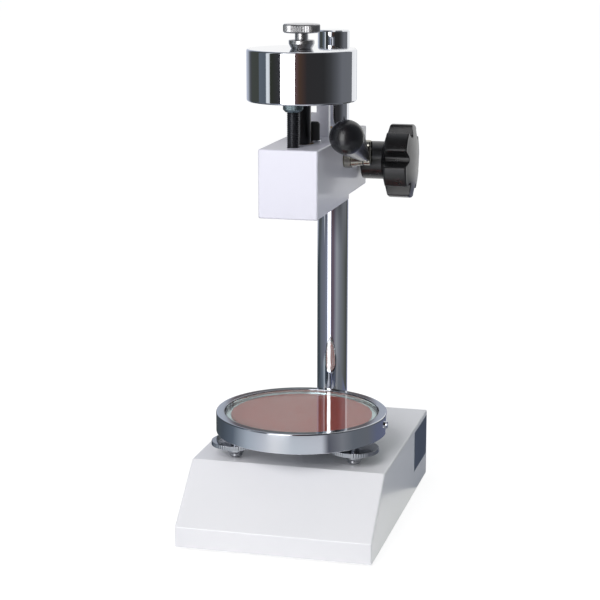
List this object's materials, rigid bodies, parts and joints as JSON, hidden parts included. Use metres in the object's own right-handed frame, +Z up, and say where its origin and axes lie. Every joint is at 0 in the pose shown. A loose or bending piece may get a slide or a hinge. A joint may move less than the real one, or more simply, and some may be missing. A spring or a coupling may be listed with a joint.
{
  "type": "hardness tester stand",
  "caption": "Bench stand with a glass-topped levelling table, a column, and a sliding head whose lever lowers a weighted spindle that holds a hardness tester.",
  "frame": {"origin": "on the bench, under the middle of the base's footprint", "axes": "+X to the operator's right, the lever's and the clamp knob's side; +Y from the sloped front to the column; +Z up along the column"},
  "size_m": [0.1284, 0.1896, 0.3293],
  "materials": {
    "white_paint": "semi-gloss powder coat",
    "chrome_plate": "polished plating",
    "zinc_steel": "zinc plated",
    "spring_steel": "oiled wire",
    "black_oxide": "blackened",
    "black_plastic": "glossy phenolic",
    "black_rubber": "matt moulded",
    "red_underlay": "matt sheet",
    "clear_glass": "polished float glass",
    "bearing_brass": "machined",
    "dark_plate": "dark anodised",
    "grey_nut": "grey anodised"
  },
  "bodies": {
    "base": {"base_casing": "white_paint", "nameplate": "dark_plate", "bottom_plate": "zinc_steel", "rubber_feet": "black_rubber", "foot_screws": "zinc_steel", "column": "chrome_plate", "column_washer": "zinc_steel", "column_nut": "zinc_steel"},
    "table": {"table_body": "chrome_plate", "table_underlay": "red_underlay", "table_glass": "clear_glass", "glass_screw": "chrome_plate", "draw_bolt": "zinc_steel", "draw_washer": "zinc_steel", "draw_nut": "zinc_steel", "draw_spring": "spring_steel"},
    "levelling_left": {"levelling_stud_left": "chrome_plate", "levelling_wheel_left": "chrome_plate"},
    "levelling_right": {"levelling_stud_right": "chrome_plate", "levelling_wheel_right": "chrome_plate"},
    "levelling_rear": {"levelling_stud_rear": "chrome_plate", "levelling_wheel_rear": "chrome_plate"},
    "head_lift": {"column_liner": "bearing_brass", "liner_circlip": "zinc_steel"},
    "head": {"head_housing": "white_paint", "clamp_block": "white_paint", "head_screws": "black_oxide", "spindle_bushes": "bearing_brass", "lever_bushes": "bearing_brass", "stop_stud": "chrome_plate", "stop_bumper": "black_rubber", "guide_finger": "white_paint", "clamp_shoe": "bearing_brass"},
    "clamp_knob": {"clamp_screw": "zinc_steel", "star_knob": "black_plastic"},
    "lever": {"lever_shaft": "chrome_plate", "lever_retaining_ring": "zinc_steel", "lever_head": "chrome_plate", "lever_pin": "zinc_steel", "lever_arm": "chrome_plate", "lever_grip": "black_plastic", "crank_fork": "zinc_steel", "crank_pin": "zinc_steel", "lever_spring": "spring_steel"},
    "load": {"spindle": "black_oxide", "fork_pin": "zinc_steel", "load_weight": "chrome_plate", "guide_rod": "black_oxide", "guide_rod_nut": "grey_nut"},
    "weight_knob": {"weight_knob": "chrome_plate", "weight_knob_stud": "zinc_steel"}
  },
  "joints": [
    {"name": "head_slide", "type": "slide", "parent": "base", "child": "head_lift", "axis": [0, 0, 1], "range_m": [-0.11, 0.06]},
    {"name": "head_swivel", "type": "hinge", "parent": "head_lift", "child": "head", "pos_m": [0, 0.06905, 0.2336], "axis": [0, 0, 1], "continuous": true},
    {"name": "spindle_drop", "type": "slide", "parent": "head", "child": "load", "axis": [0, 0, -1], "range_m": [0, 0.0142], "stiffness_N_per_m": 390, "springref_m": -0.046},
    {"name": "lever_press", "type": "hinge", "parent": "head", "child": "lever", "pos_m": [0, 0.02115, 0.239], "axis": [1, 0, 0], "range_deg": [0, 19.6]},
    {"name": "weight_knob_turn", "type": "hinge", "parent": "load", "child": "weight_knob", "pos_m": [0, -0.01885, 0.3138], "axis": [0, 0, 1], "continuous": true},
    {"name": "clamp_knob_turn", "type": "hinge", "parent": "head", "child": "clamp_knob", "pos_m": [0.02, 0.06905, 0.2325], "axis": [1, 0, 0], "range_deg": [0, 360]},
    {"name": "table_lift", "type": "slide", "parent": "base", "child": "table", "axis": [0, 0, 1], "range_m": [-0.0012, 0.0012], "deforming": ["draw_spring"]},
    {"name": "levelling_left_turn", "type": "hinge", "parent": "base", "child": "levelling_left", "pos_m": [-0.03816, -0.04363, 0.0496], "axis": [0, 0, 1], "range_deg": [-433, 433]},
    {"name": "levelling_right_turn", "type": "hinge", "parent": "base", "child": "levelling_right", "pos_m": [0.04054, -0.03951, 0.0496], "axis": [0, 0, 1], "range_deg": [-433, 433]},
    {"name": "levelling_rear_turn", "type": "hinge", "parent": "base", "child": "levelling_rear", "pos_m": [-0.00238, 0.02659, 0.0496], "axis": [0, 0, 1], "range_deg": [-433, 433]}
  ],
  "couplings": [
    {"joint": "lever_press", "follows": "spindle_drop", "rad_per_m": 24.023},
    {"joint": "levelling_left_turn", "follows": "table_lift", "rad_per_m": -6283.2},
    {"joint": "levelling_right_turn", "follows": "table_lift", "rad_per_m": -6283.2},
    {"joint": "levelling_rear_turn", "follows": "table_lift", "rad_per_m": -6283.2}
  ]
}
